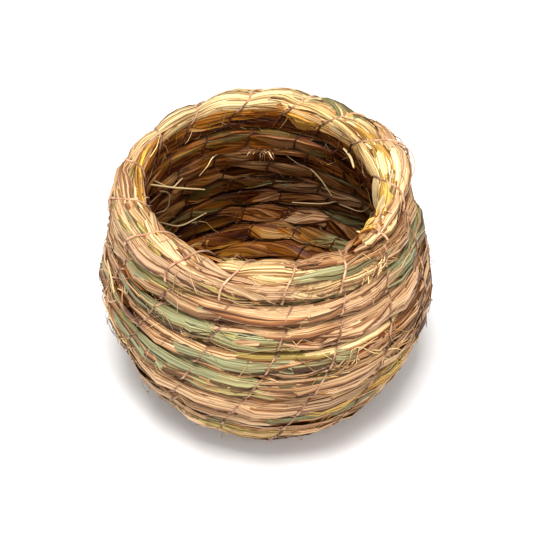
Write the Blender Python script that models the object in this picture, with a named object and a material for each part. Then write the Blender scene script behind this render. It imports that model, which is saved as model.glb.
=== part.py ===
"""A coiled grass nest: a rope of dried grass wound in a spiral, and the wire that binds it.

The rope starts in the middle of the base, runs out over a flat floor and climbs a round wall up to
the rim of a wide mouth, where it thins out and ends. Seen from above it is wound clockwise. Each
turn of the rope is a bundle of its own, laid end to end with the next one. One long wire is wrapped
round the rope of the wall and passes between every turn and the next.

Metres, +Z up, front at -Y. The nest stands on Z = 0, with the origin under the middle of its box.
"""
import math

import bmesh
import bpy
import numpy as np
from mathutils import Vector
from mathutils.geometry import interpolate_bezier

MM = 0.001

# ---- the rope's thickness across the wall ----
ROPE_HALF_THICKNESS = 5.9 * MM
RIM_HALF_THICKNESS = 6.2 * MM

# ---- driving dimensions of the rope's middle line, as a side view: radius and height ----
FLOOR_HEIGHT = ROPE_HALF_THICKNESS
FLOOR_RADIUS = 30.5 * MM         # where the flat floor starts to curve up
BELLY_RADIUS = 54.0 * MM
BELLY_HEIGHT = 41.5 * MM
RIM_RADIUS = 45.9 * MM
RIM_HEIGHT = 84.0 * MM
FOOT_HANDLES = (13.0 * MM, 19.5 * MM)       # how far the outline keeps its direction at each end
SHOULDER_HANDLES = (13.0 * MM, 14.0 * MM)
OUTLINE_POINTS = 200             # computed on each of the two curved stretches
SLOPE_STEP = 0.5 * MM            # over which the outline's direction is measured

# ---- plan: the mouth's centre drifts sideways, and its front is a little flat ----
MOUTH_DRIFT = -3.4 * MM          # of the rim's centre off the belly's, along X
MOUTH_FLAT_FRONT = 0.035         # share of the radius that the front of the mouth lacks
MOUTH_SHAPE_FROM = 45.0 * MM     # height at which the drift and the flat front start to show
CENTRE_SHIFT = -0.4 * MM         # of the belly's centre, along X: it centres the whole box

# ---- the rope ----
TURNS = 13.5
FIRST_COURSE_TURNS = 1.5         # the small coil that starts the base
STATIONS = 22                    # cross sections in one turn
TIP_AZIMUTH = math.radians(-42.0)
START_RADIUS = 1.9 * MM          # of the spiral, where the rope starts thin
START_SIZE = 0.45
START_TURNS = 0.8
RIM_HEIGHT_OF_ROPE = 11.0 * MM   # the rim's rope is rounder than the wall's
WIRE_ROOM = 1.15 * MM            # left between one turn and the next, for the wire
LEVELLING = 0.31 * MM            # one side is packed tighter than the other, which levels the rim
LEVELLING_TURN = math.radians(4.0)
RIM_START_SIZE = 0.88            # size of the rim's rope where it starts
RIM_SWELL_TURNS = 0.13
TAPER_TURNS = 0.20
TIP_SIZE = 0.28
END_GAP = 0.3 * MM               # between the ends of two bundles
# half a cross section, as shares of its half thickness and its half height
SECTION_SHARES = ((1.0, 0.42), (0.48, 1.0), (-0.48, 1.0), (-1.0, 0.42))

# ---- the wire ----
WIRE_RADIUS = 0.35 * MM
WRAPS_PER_TURN = 15.17           # not a whole number, so the wraps lean from turn to turn
WIRE_FROM_TURN = 5.55            # lower down the grass itself rests on the ground
WIRE_TO_TURN = TURNS - 0.01
WIRE_PHASE = 0.34                # share of a wrap by which the wraps are turned about the axis
WIRE_CREST = 1.45 * MM           # how far the middle of the wire stands off the rope, outside
WIRE_INNER = 1.15 * MM           # the same on the inside
WIRE_CORNER = 0.86               # share of the rope's half thickness at which the wire turns in

GRASS_TINTS = ((0.56, 0.39, 0.21), (0.62, 0.47, 0.27), (0.50, 0.44, 0.26), (0.58, 0.41, 0.20))
WIRE_COLOUR = (0.30, 0.19, 0.11)


def clear_scene():
    for obj in list(bpy.data.objects):
        bpy.data.objects.remove(obj, do_unlink=True)


def side_outline():
    """Distance along the rope's middle line in side view, with its radius and height there."""
    floor_end = Vector((FLOOR_RADIUS, FLOOR_HEIGHT))
    belly = Vector((BELLY_RADIUS, BELLY_HEIGHT))
    rim = Vector((RIM_RADIUS, RIM_HEIGHT))
    foot = interpolate_bezier(
        floor_end, floor_end + Vector((FOOT_HANDLES[0], 0.0)),
        belly - Vector((0.0, FOOT_HANDLES[1])), belly, OUTLINE_POINTS)
    shoulder = interpolate_bezier(
        belly, belly + Vector((0.0, SHOULDER_HANDLES[0])),
        rim - Vector((0.0, SHOULDER_HANDLES[1])), rim, OUTLINE_POINTS)
    above_rim = rim + Vector((0.0, RIM_HEIGHT_OF_ROPE))
    points = [(0.0, FLOOR_HEIGHT)] + [tuple(p)[:2] for p in foot + shoulder[1:] + [above_rim]]
    radius, height = np.array(points).T
    steps = np.hypot(np.diff(radius), np.diff(height))
    return np.concatenate(([0.0], np.cumsum(steps))), radius, height


OUTLINE_ARC, OUTLINE_RADIUS, OUTLINE_HEIGHT = side_outline()
RIM_ARC = OUTLINE_ARC[-1] - RIM_HEIGHT_OF_ROPE


def smooth_step(value):
    share = min(max(value, 0.0), 1.0)
    return share * share * (3.0 - 2.0 * share)


def azimuth_at(turn):
    return TIP_AZIMUTH + 2.0 * math.pi * (TURNS - turn)


def mouth_weight(height):
    """0 on the belly and below, 1 at the rim."""
    return smooth_step((height - MOUTH_SHAPE_FROM) / (RIM_HEIGHT - MOUTH_SHAPE_FROM))


def mouth_shape(azimuth, height):
    """Share of the radius that is left at an azimuth: the mouth is flatter in front."""
    front = max(-math.sin(azimuth), 0.0) ** 4
    return 1.0 - MOUTH_FLAT_FRONT * mouth_weight(height) * front


def place(azimuth, arc, outward):
    """A point of the wall: along the outline by arc, then off it by outward."""
    arcs = np.array((arc - SLOPE_STEP, arc, arc + SLOPE_STEP))
    radius = np.interp(arcs, OUTLINE_ARC, OUTLINE_RADIUS)
    height = np.interp(arcs, OUTLINE_ARC, OUTLINE_HEIGHT)
    run = np.array((radius[2] - radius[0], height[2] - height[0]))
    run = run / np.hypot(*run)
    radial = radius[1] * mouth_shape(azimuth, height[1]) + outward * run[1]
    level = height[1] - outward * run[0]
    drift = MOUTH_DRIFT * mouth_weight(height[1])
    return np.array((
        radial * math.cos(azimuth) + drift + CENTRE_SHIFT,
        radial * math.sin(azimuth),
        level,
    ))


def rim_size(turn):
    """Size of the rim's rope: it swells at its start and thins out to its tip."""
    swell = smooth_step((turn - (TURNS - 1.0)) / RIM_SWELL_TURNS)
    taper = smooth_step((turn - (TURNS - TAPER_TURNS)) / TAPER_TURNS)
    size = RIM_START_SIZE + (1.0 - RIM_START_SIZE) * swell
    return size + (TIP_SIZE - size) * taper


def start_size(turn):
    """The rope starts thin, so the middle of the base closes up."""
    return START_SIZE + (1.0 - START_SIZE) * smooth_step(turn / START_TURNS)


def wall_pitch():
    """Distance from turn to turn that brings the middle of the last turn up to the rim."""
    first_turn_run = 0.5 * (1.0 + START_SIZE)
    pitches = first_turn_run + (TURNS - 2.5) + 0.5
    rope_changes = 0.5 * (RIM_HEIGHT_OF_ROPE + WIRE_ROOM)
    start_room = START_RADIUS + (1.0 - first_turn_run) * WIRE_ROOM
    return (RIM_ARC - start_room - rope_changes) / pitches


PITCH = wall_pitch()


def rope_height(turn):
    """Height of the rope along the outline."""
    if turn >= TURNS - 1.0:
        return RIM_HEIGHT_OF_ROPE * rim_size(turn)
    side = math.sin(2.0 * math.pi * (turn - TURNS) + LEVELLING_TURN)
    on_wall = smooth_step((turn - 3.0) / 2.0)
    return (PITCH - WIRE_ROOM) * start_size(turn) + LEVELLING * side * on_wall


def rope_half_thickness(turn):
    if turn >= TURNS - 1.0:
        return RIM_HALF_THICKNESS * rim_size(turn)
    return ROPE_HALF_THICKNESS


def rope_arcs():
    """Where the rope lies along the outline at each station: every turn rests on the one before."""
    count = round(TURNS * STATIONS)
    heights = [rope_height(k / STATIONS) for k in range(count + 1)]
    arcs = []
    first_run = 0.5 * (heights[0] + heights[STATIONS]) + WIRE_ROOM
    for k in range(count + 1):
        if k < STATIONS:
            arcs.append(START_RADIUS + first_run * k / STATIONS)
        else:
            below = k - STATIONS
            arcs.append(arcs[below] + 0.5 * (heights[below] + heights[k]) + WIRE_ROOM)
    return arcs


ARCS = rope_arcs()


def rope_point(turn, outward, along):
    """A point in the rope's own section, on the straight run between two stations."""
    position = min(max(turn * STATIONS, 0.0), len(ARCS) - 1.0)
    low = min(int(position), len(ARCS) - 2)
    share = position - low
    ends = [place(azimuth_at(k / STATIONS), ARCS[k] + along, outward) for k in (low, low + 1)]
    return ends[0] * (1.0 - share) + ends[1] * share


def section(turn, at_turn):
    """The closed outline of the rope at a turn, drawn with the size it has at another turn."""
    thick = rope_half_thickness(at_turn)
    half_height = 0.5 * rope_height(at_turn)
    ring = [(thick * a, half_height * b) for a, b in SECTION_SHARES]
    ring += [(a, -b) for a, b in reversed(ring)]
    return [rope_point(turn, outward, along) for outward, along in ring]


def course(name, first_turn, last_turn):
    """One bundle of the rope: its sections at every station, joined by faces, with closed ends."""
    first = round(first_turn * STATIONS)
    last = round(last_turn * STATIONS)
    turns = [k / STATIONS for k in range(first, last + 1)]
    end_trim = 0.5 * END_GAP
    rings = []
    for index, turn in enumerate(turns):
        size_turn = min(turn, last_turn - 1e-6)
        if index in (0, len(turns) - 1):
            inwards = 1 if index == 0 else -1
            here = rope_point(turn, 0.0, 0.0)
            beyond = rope_point(turn + inwards / STATIONS, 0.0, 0.0)
            turn += inwards * end_trim / (np.linalg.norm(beyond - here) * STATIONS)
        rings.append(section(turn, size_turn))
    shape = bmesh.new()
    loops = [[shape.verts.new(point) for point in ring] for ring in rings]
    sides = len(loops[0])
    for lower, upper in zip(loops, loops[1:]):
        for i in range(sides):
            j = (i + 1) % sides
            shape.faces.new((lower[i], lower[j], upper[j], upper[i]))
    shape.faces.new(loops[0])
    shape.faces.new(list(reversed(loops[-1])))
    bmesh.ops.recalc_face_normals(shape, faces=shape.faces)
    mesh = bpy.data.meshes.new(name)
    shape.to_mesh(mesh)
    shape.free()
    mesh.shade_smooth()
    mesh.set_sharp_from_angle(angle=math.radians(50.0))
    return bpy.data.objects.new(name, mesh)


def wire_path():
    """Corners of the wire: up the outside, over the rope, down the inside and back underneath.

    The wire is followed from the rim down, so each wrap is a share of a turn lower than the last.
    """
    wraps = int((WIRE_TO_TURN - WIRE_FROM_TURN) * WRAPS_PER_TURN)
    corners = ((0.0, 1, -1), (0.125, 2, 0), (0.25, 1, 1), (0.5, -1, 1), (0.75, -1, -1))
    points = []
    for wrap in range(wraps):
        for share, side, level in corners:
            turn = WIRE_TO_TURN - (wrap + share + WIRE_PHASE) / WRAPS_PER_TURN
            thick = rope_half_thickness(turn)
            reach = 0.5 * (rope_height(turn) + WIRE_ROOM)
            outward = {1: WIRE_CORNER * thick, 2: thick + WIRE_CREST, -1: -thick - WIRE_INNER}[side]
            points.append(rope_point(turn, outward, level * reach))
    return points


def binding_wire(name):
    """The wire: a straight run from corner to corner, with a round section and closed ends."""
    points = wire_path()
    curve = bpy.data.curves.new(name, "CURVE")
    curve.dimensions = "3D"
    curve.bevel_depth = WIRE_RADIUS
    curve.bevel_resolution = 0
    curve.use_fill_caps = True
    spline = curve.splines.new("POLY")
    spline.points.add(len(points) - 1)
    for target, point in zip(spline.points, points):
        target.co = (*point, 1.0)
    return bpy.data.objects.new(name, curve)


def material(name, colour, roughness, metallic):
    made = bpy.data.materials.new(name)
    made.use_nodes = True
    shader = made.node_tree.nodes["Principled BSDF"]
    shader.inputs["Base Color"].default_value = (*colour, 1.0)
    shader.inputs["Roughness"].default_value = roughness
    shader.inputs["Metallic"].default_value = metallic
    made.diffuse_color = (*colour, 1.0)
    return made


def main():
    clear_scene()
    nest = bpy.data.collections.new("coiled_grass_nest")
    bpy.context.scene.collection.children.link(nest)
    grass = [material(f"dried_grass_{i + 1}", tint, 0.8, 0.0) for i, tint in enumerate(GRASS_TINTS)]
    count = round(TURNS - FIRST_COURSE_TURNS) + 1
    for index in range(count):
        last_turn = FIRST_COURSE_TURNS + index
        first_turn = 0.0 if index == 0 else last_turn - 1.0
        bundle = course(f"grass_course_{index + 1:02d}", first_turn, last_turn)
        bundle.data.materials.append(grass[index % len(grass)])
        nest.objects.link(bundle)
    wire = binding_wire("binding_wire")
    wire.data.materials.append(material("brown_brass_wire", WIRE_COLOUR, 0.45, 1.0))
    nest.objects.link(wire)


main()
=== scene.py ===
"""Looks of a coiled dried-grass nest: the blades of its rope, the wire that binds it, and a stage.

The rope is a spiral on a surface of revolution, so everything on it has three coordinates: turn
(how far along the spiral), along (up the wall from the rope's middle line) and outward (off the
wall). Blades, wire and fibres are all worked out in these and then placed in the room.
"""
import math

import bpy
import numpy as np
from bpy.props import FloatProperty, IntProperty, PointerProperty, StringProperty
from bpy.types import Operator, Panel, PropertyGroup
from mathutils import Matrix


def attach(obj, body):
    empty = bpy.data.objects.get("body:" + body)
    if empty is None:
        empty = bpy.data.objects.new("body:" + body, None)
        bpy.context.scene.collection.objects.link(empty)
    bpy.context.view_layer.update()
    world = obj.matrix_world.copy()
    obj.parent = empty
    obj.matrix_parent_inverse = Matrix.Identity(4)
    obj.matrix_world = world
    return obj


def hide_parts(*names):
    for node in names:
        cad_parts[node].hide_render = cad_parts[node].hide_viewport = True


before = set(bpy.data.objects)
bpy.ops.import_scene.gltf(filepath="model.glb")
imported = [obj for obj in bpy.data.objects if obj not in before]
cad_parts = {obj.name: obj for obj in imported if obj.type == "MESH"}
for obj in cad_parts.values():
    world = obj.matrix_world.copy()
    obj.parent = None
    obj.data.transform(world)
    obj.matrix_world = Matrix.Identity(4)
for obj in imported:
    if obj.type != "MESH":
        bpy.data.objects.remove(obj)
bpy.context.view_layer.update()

bl_info = {
    "name": "Coiled grass nest",
    "version": (1, 0, 0),
    "blender": (4, 5, 0),
    "location": "3D View > Sidebar > Nest",
    "description": "Builds the grass blades, the binding wire and the stage of a coiled grass nest",
    "category": "Add Mesh",
}

MM = 0.001
COURSES = sorted(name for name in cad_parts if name.startswith("grass_course"))
WIRE_NODE = "binding_wire"

# ---- the wall's middle line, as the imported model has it: places are (radius, height) ----
FLOOR_END = (30.5 * MM, 5.9 * MM)
FLOOR_HANDLE = (43.5 * MM, 5.9 * MM)
BELLY_LOW_HANDLE = (54.0 * MM, 22.0 * MM)
BELLY = (54.0 * MM, 41.5 * MM)
BELLY_HIGH_HANDLE = (54.0 * MM, 54.5 * MM)
RIM_LOW_HANDLE = (45.9 * MM, 70.0 * MM)
RIM = (45.9 * MM, 84.0 * MM)
OUTLINE_POINTS = 400             # worked out on each of the two curved stretches
OUTLINE_STEP = 0.25 * MM         # between the points that the outline is read from
INNERMOST_ARC = -5.0 * MM        # the outline runs on across the middle of the base
MOUTH_DRIFT = -3.4 * MM          # of the rim's centre off the belly's, along X
MOUTH_FLAT_FRONT = 0.035         # share of the radius that the front of the mouth lacks
MOUTH_SHAPE_FROM = 45.0 * MM     # height at which the drift and the flat front start to show
CENTRE_SHIFT = -0.4 * MM

# ---- the rope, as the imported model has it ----
HALF_THICKNESS = 5.9 * MM
RIM_HALF_THICKNESS = 6.2 * MM
RIM_ROPE_HEIGHT = 11.0 * MM
TURNS = 13.5
RIM_FROM = TURNS - 1.0
FIRST_COURSE_TURNS = 1.5
TIP_AZIMUTH = math.radians(-42.0)
START_RADIUS = 1.9 * MM          # of the spiral, where the rope starts thin
START_SIZE = 0.45
START_TURNS = 0.8
LEVELLING = 0.31 * MM            # one side is packed tighter than the other, which levels the rim
LEVELLING_TURN = math.radians(4.0)
LEVELLING_FROM = 3.0
LEVELLING_OVER = 2.0
RIM_START_SIZE = 0.88
RIM_SWELL_TURNS = 0.13
TAPER_TURNS = 0.20
TIP_SIZE = 0.28
STATIONS = 66                    # to a turn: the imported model's cross sections, three times as close

# ---- the wire ----
WIRE_ROOM = 1.15 * MM            # left between one turn of the rope and the next
WRAPS_PER_TURN = 15.17
WIRE_TOP_TURN = TURNS - 0.01
WIRE_PHASE = 0.34
COUNTED_FROM = 0.125             # where on the section a wrap starts, as a share of the way round
WRAP_WAVES = ((0.11, 0.37, 1.0), (0.07, 0.83, 2.4), (0.05, 1.71, 0.3))    # size, rate and start
RIM_LEAN = 0.13
RIM_LEAN_SIDE = math.radians(130.0)
RIM_LEAN_OVER = 0.05
WALL_WIRE_FROM = 5.2
FLOOR_WIRE_TURNS = (1.0, 5.19)
FLOOR_WIRE_SPACING = 19.0 * MM
POINTS_PER_WRAP = 26
WIRE_SIDES = 8
RIM_WIRE_SIDE = 1.1              # the angle round the rim's section at which its wire stands out most

# ---- how full the rope looks: its blades fill the room that the plain solids leave ----
SECTION_POWER = 0.66             # under 1 squares off the oval of the section
INSIDE_POWER = 0.5
RIM_FILL = 0.3 * MM
WALL_FILL = 0.95                 # share of the wire's room that the blades of the wall fill
PINCH_WIDTH = 3.4 * MM           # length of rope that a wrap of the wire draws in
PINCH_OUTWARD = 0.07
PINCH_ALONG = 0.15
RIM_PINCH = 0.35
INSIDE_PINCH = 0.4
TIED_FROM = 5.0                  # the turn from which the wire draws the rope in
TIED_OVER = 0.5
SHORTEST_RING = 120.0 * MM
WIRE_SQUEEZE = 0.7               # share of a blade's lift that the wire takes away
PRESSED_FLAT = 0.6 * MM          # height under which the grass is pressed flat on the ground
# hand-made unevenness: azimuth and its spread, height and its spread, angle round the section and
# its spread (degrees, mm, degrees), and how far the skin stands out there (mm)
SWELLS = (
    (152.0, 24.0, 84.0, 6.0, 30.0, 65.0, -5.2),
    (180.0, 12.0, 84.0, 6.0, 30.0, 65.0, -2.2),
    (118.0, 18.0, 84.0, 6.0, 50.0, 60.0, -2.0),
    (14.0, 16.0, 84.0, 6.0, 10.0, 70.0, 3.2),
    (2.0, 16.0, 68.0, 9.0, 0.0, 60.0, 2.2),
    (212.0, 34.0, 26.0, 13.0, 0.0, 60.0, -1.8),
    (-34.0, 24.0, 30.0, 16.0, 0.0, 60.0, -2.4),
    (188.0, 9.0, 52.0, 6.0, 0.0, 60.0, 2.0),
    (-80.0, 16.0, 10.0, 6.0, 0.0, 60.0, 1.2),
    (100.0, 45.0, 84.0, 6.0, 175.0, 40.0, -2.6),
)

# ---- leaf blades ----
ALL_ROUND = (-math.pi, math.pi)
ACROSS = np.array((-1.0, -0.5, 0.0, 0.5, 1.0))     # corners across a wide blade, edge to edge
NARROW_ACROSS = ACROSS[::2]
INNERMOST_TURN = -0.8
PAST_THE_TIP = 0.018             # turns that the longest blades stick out past the rope's free end
WALL_SPACING = 12.0 * MM         # where the wraps stand further apart, blades are laid out by them
RINGS_PER_WRAP = 3.0
FLOOR_RING_STEP = 6.5 * MM
RIM_RING_STEP = (0.19, 0.23)     # of a wrap: finer than elsewhere, as the rim shows its bends
RIM_RINGS = 1.6
RIM_TILT = 0.3 * MM
LONGEST_BLADE = 0.45             # of a turn
FULL_WIDTH = 4.0 * MM            # a blade this wide has its full camber, lean and fold
TUCKED = 1.5 * MM                # how far the ends of a blade dip into the bundle
BLADE_THICKNESS = 0.25 * MM
WAVE_START = (0.0, 6.3)          # anywhere in a wave
FILLING_RINGS = 180
FILLING_CORNERS = 28
FILLING_DEPTHS = (0.3 * MM, 1.0 * MM, 1.8 * MM)    # in the start coil, floor and rim, and wall
FIBRE_SIDES = 3
STRAW_SIDES = 5
# painted shade and light on the inside of the nest, as they change up the wall: turns, how much
# painted shade is added there to the blades' depth, and how much brighter they are painted (darker
# under 0)
INSIDE_PAINTED_SHADE = ((5.0, 9.0), (0.72, 0.53))
INSIDE_SHADE = ((8.5, 11.5), (-0.1, 0.06))

# blades that catch the eye, in place of chance: course, azimuth and angle round the section
# (degrees), rings (a third of a wrap each), width and lift (mm), tone, slant, how many, and how
# far they are scattered in azimuth and in angle (degrees)
CHOSEN_BLADES = (
    (13, -122, 40, 11, 3.0, 0.8, 0.84, 2.6, 1, 0, 0),
    (13, -86, 95, 8, 7.0, 0.6, 0.58, 0.5, 1, 0, 0),
    (13, -78, 72, 7, 6.0, 0.7, 0.60, 0.8, 1, 0, 0),
    (13, -112, 60, 8, 3.6, 0.6, 0.42, 2.0, 8, 18, 35),
    (13, -100, 20, 8, 4.2, 0.6, 0.40, 1.0, 3, 12, 20),
    (13, -58, 50, 8, 5.0, 0.9, 0.91, 0.4, 2, 6, 8),
    (13, -56, 15, 8, 5.0, 0.7, 0.55, -0.2, 2, 8, 12),
    (13, -56, 108, 8, 1.5, 1.4, 0.24, 0.4, 34, 14, 20),
    (12, -26, 62, 8, 1.5, 1.4, 0.24, 0.6, 22, 10, 22),
    (12, -14, 20, 8, 2.2, 1.2, 0.33, 0.8, 10, 8, 25),
    (13, 118, 90, 10, 9.0, 1.4, 0.62, -0.2, 1, 0, 0),
    (13, 112, 130, 10, 6.0, 1.2, 0.60, -0.2, 1, 0, 0),
    (13, 90, 95, 9, 8.0, 1.5, 0.64, -0.2, 1, 0, 0),
    (13, 84, 60, 9, 4.0, 1.1, 0.66, 0.0, 3, 12, 20),
    (13, 70, 90, 9, 3.0, 1.2, 0.90, 0.4, 3, 8, 25),
    (13, 98, 140, 9, 7.0, 0.8, 0.74, -0.2, 2, 8, 8),
    (13, 80, 150, 8, 5.0, 0.8, 0.73, 0.0, 2, 6, 14),
    (13, 66, 165, 4, 5.0, 1.4, 0.76, 0.6, 2, 2, 8),
    (13, 42, 112, 12, 6.5, 1.5, 0.67, 0.5, 3, 10, 12),
    (13, 26, 132, 12, 6.0, 1.4, 0.66, 0.4, 3, 8, 12),
    (13, 38, 150, 12, 4.0, 1.1, 0.58, 0.6, 3, 12, 12),
    (13, 48, 82, 12, 3.0, 1.3, 0.93, 0.9, 3, 10, 14),
    (13, 20, 96, 12, 3.0, 1.5, 0.68, 0.2, 3, 10, 14),
    (13, 10, 66, 9, 4.0, 1.2, 0.50, 0.2, 5, 14, 24),
    (13, 4, 100, 9, 4.4, 1.4, 0.66, 0.0, 3, 7, 18),
    (13, 0, 60, 7, 5.0, 1.3, 0.62, 0.2, 2, 5, 12),
    (13, -8, 98, 6, 2.8, 1.7, 0.81, 0.0, 3, 5, 8),
    (13, 12, 100, 12, 2.2, 1.8, 0.82, 0.3, 2, 6, 5),
    (13, -9, 128, 7, 3.4, 1.0, 0.67, 0.0, 3, 5, 12),
    (13, -24, 118, 5, 2.6, 1.9, 0.66, 2.6, 5, 4, 22),
    (13, -26, 118, 5, 2.0, 2.2, 0.76, 2.6, 5, 4, 22),
    (13, -28, 90, 4, 1.6, 1.9, 0.27, 1.6, 8, 5, 34),
    (13, -20, 66, 5, 4.0, 2.0, 0.45, -1.2, 1, 0, 0),
    (13, -26, 50, 5, 2.6, 1.9, 0.62, -0.6, 2, 4, 14),
    (13, 160, 60, 9, 5.5, 1.0, 0.44, 0.0, 4, 12, 22),
    (13, 178, 118, 8, 2.0, 1.6, 0.76, -0.4, 3, 6, 8),
    (13, -166, 78, 9, 1.3, 1.1, 0.80, 0.4, 5, 14, 35),
    (13, -160, 70, 9, 1.6, 1.1, 0.92, 0.6, 8, 14, 35),
    (13, -165, 95, 9, 1.7, 1.1, 0.50, 0.4, 10, 16, 40),
    (13, -138, 105, 9, 4.0, 0.9, 0.47, 1.2, 4, 8, 20),
    (13, 168, 80, 9, 4.0, 1.0, 0.47, 0.3, 5, 14, 30),
    (13, -178, 110, 9, 3.6, 1.0, 0.46, 0.3, 5, 14, 30),
    (13, -150, 40, 9, 4.0, 0.9, 0.46, 1.0, 4, 10, 25),
    (12, -122, -2, 9, 6.5, 0.7, 0.33, 0.4, 1, 0, 0),
    (12, -94, 30, 9, 6.5, 0.8, 0.33, 0.4, 1, 0, 0),
    (12, -72, 18, 8, 5.0, 0.8, 0.45, -0.2, 2, 5, 15),
    (12, -82, 66, 5, 2.4, 0.9, 0.92, 0.2, 1, 0, 0),
    (12, -66, 70, 7, 3.2, 0.8, 0.94, 0.0, 2, 6, 10),
    (12, -24, 5, 10, 2.0, 0.8, 0.93, 0.3, 18, 10, 40),
    (12, -44, 20, 9, 4.6, 0.8, 0.38, -0.6, 4, 8, 25),
    (12, -142, 20, 10, 2.0, 0.7, 0.88, 0.5, 12, 14, 40),
    (12, -165, 20, 10, 2.2, 0.9, 0.38, 0.5, 10, 14, 40),
    (11, -120, 22, 9, 5.5, 0.7, 0.92, 0.3, 1, 0, 0),
    (11, -100, 12, 8, 3.0, 0.7, 0.90, 0.3, 5, 8, 25),
    (11, -78, 50, 8, 6.5, 0.7, 0.33, 0.0, 2, 5, 12),
    (11, -18, 8, 9, 2.0, 0.8, 0.93, 0.2, 14, 8, 40),
    (11, -46, 30, 9, 5.0, 0.8, 0.36, -0.4, 4, 8, 25),
    (10, -124, 40, 9, 6.0, 0.7, 0.31, 0.2, 2, 6, 15),
    (10, -86, 46, 9, 5.5, 0.9, 0.84, 0.2, 1, 0, 0),
    (10, -80, 12, 8, 4.6, 0.7, 0.92, 0.0, 2, 6, 12),
    (10, -104, 10, 8, 4.6, 0.7, 0.93, 0.2, 2, 6, 15),
    (10, -58, 50, 9, 5.0, 0.9, 0.57, -0.6, 1, 0, 0),
    (10, -40, 30, 9, 4.0, 0.8, 0.36, -0.2, 4, 8, 30),
    (9, -127, 42, 8, 7.2, 1.0, 0.93, 0.3, 1, 0, 0),
    (9, -108, 36, 8, 6.2, 1.0, 0.92, 0.0, 1, 0, 0),
    (9, -109, -4, 8, 3.6, 0.6, 0.87, 0.3, 1, 0, 0),
    (9, -80, 40, 7, 4.6, 0.7, 0.97, 0.0, 2, 4, 10),
    (9, -140, 20, 9, 2.6, 0.7, 0.95, 0.3, 6, 9, 30),
    (9, -60, 30, 8, 4.0, 0.8, 0.35, -0.2, 3, 7, 25),
    (8, -78, 40, 8, 5.5, 0.8, 0.42, 0.0, 2, 6, 12),
    (8, -61, 30, 7, 7.5, 1.0, 0.40, -0.2, 1, 0, 0),
    (8, -48, 20, 8, 1.6, 1.1, 0.82, 0.0, 10, 8, 40),
    (8, -114, 30, 9, 4.6, 0.8, 0.42, 0.2, 4, 10, 25),
    (7, -104, 34, 8, 5.5, 0.8, 0.44, 0.2, 2, 6, 15),
    (7, -75, 30, 8, 3.6, 0.7, 0.93, 0.0, 3, 10, 20),
    (6, -95, 25, 8, 5.5, 0.7, 0.84, 0.0, 2, 8, 12),
    (5, 100, 175, 9, 5.5, 0.9, 0.70, 1.6, 7, 45, 35),
    (6, 100, 180, 9, 5.5, 1.0, 0.71, 1.8, 8, 45, 35),
    (7, 100, 185, 9, 5.0, 1.0, 0.29, 1.8, 8, 40, 35),
    (6, 150, 180, 9, 4.5, 0.9, 0.34, 1.8, 6, 25, 35),
    (5, 60, 175, 9, 4.5, 0.9, 0.44, -1.4, 5, 20, 30),
    (8, 115, 180, 9, 3.6, 0.9, 0.94, 1.6, 4, 25, 30),
    (8, 75, 180, 9, 3.6, 0.9, 0.44, -1.6, 5, 25, 30),
    (9, 60, 180, 9, 3.0, 0.9, 0.94, -1.4, 4, 25, 30),
    (9, 120, 180, 9, 4.0, 0.9, 0.60, 1.8, 4, 25, 30),
    (10, 100, 180, 9, 4.0, 0.9, 0.46, 1.4, 6, 40, 25),
    (8, 55, 190, 11, 4.5, 1.5, 0.94, -2.4, 3, 12, 20),
    (7, 60, 185, 11, 4.5, 1.4, 0.40, -2.4, 3, 14, 20),
    (9, 62, 175, 11, 4.0, 1.5, 0.36, -2.4, 3, 12, 20),
    (6, 62, 180, 11, 4.5, 1.4, 0.92, -2.4, 2, 12, 20),
    (10, 50, 180, 9, 3.0, 0.9, 0.94, -1.2, 4, 20, 25),
    (11, 100, 160, 9, 4.5, 0.9, 0.44, 0.4, 6, 35, 25),
    (12, 100, 160, 9, 3.0, 0.8, 0.93, 0.3, 4, 30, 25),
    (12, 90, 165, 9, 3.5, 0.8, 0.34, 0.3, 5, 35, 25),
)

# tufts of short fibres: course, azimuth, angle round the section, scatter of both (degrees), how
# many, length, thickness and lift (mm), tone and shade
TUFTS = (
    (12, -39, 0, 4, 18, 60, 6.0, 0.30, 2.2, 0.63, 1.7),
    (12, -37, 40, 5, 20, 30, 12.0, 0.20, 2.2, 0.30, 0.9),
    (13, -56, 100, 9, 16, 130, 26.0, 0.22, 1.2, 0.24, 1.0),
    (12, -18, 90, 7, 30, 50, 12.0, 0.22, 2.2, 0.28, 0.95),
    # the fuzz inside is a pinkish white, and its shade over 2 lifts it past that: painted light in the dim
    # inside
    (11, 90, 150, 4, 6, 60, 5.0, 0.24, 3.4, 0.43, 2.4),
    (9, -164, 20, 10, 40, 18, 7.0, 0.40, 2.4, 0.50, 1.05),
    (8, -158, 30, 10, 35, 18, 7.0, 0.44, 2.4, 0.58, 1.1),
    (10, -162, 40, 10, 35, 18, 7.0, 0.40, 2.4, 0.45, 1.0),
    (11, -168, 20, 9, 35, 12, 7.0, 0.36, 2.2, 0.56, 1.1),
    (8, -46, 30, 7, 35, 36, 8.0, 0.32, 2.2, 0.80, 1.1),
    (9, -48, 50, 6, 30, 24, 10.0, 0.28, 2.2, 0.60, 1.1),
    (10, -56, 20, 5, 30, 20, 12.0, 0.28, 2.2, 0.55, 1.1),
    (9, -72, 60, 8, 20, 20, 9.0, 0.24, 1.8, 0.72, 1.1),
    (11, -130, 60, 10, 25, 20, 14.0, 0.22, 1.6, 0.64, 1.1),
    (7, -125, 20, 10, 40, 20, 9.0, 0.26, 2.2, 0.34, 0.95),
    (13, 26, 64, 18, 12, 110, 6.0, 0.30, 2.2, 0.78, 1.1),
    (13, 8, 92, 9, 7, 60, 3.6, 0.28, 1.9, 0.79, 1.1),
    (13, -6, 102, 7, 7, 40, 3.6, 0.28, 1.9, 0.78, 1.0),
    (12, -38, 96, 9, 14, 90, 26.0, 0.22, 1.4, 0.24, 1.0),
    (13, -44, 90, 3, 50, 60, 14.0, 0.22, 1.4, 0.26, 1.0),
    (13, 128, 95, 12, 35, 20, 14.0, 0.22, 1.4, 0.40, 1.0),
)

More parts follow.
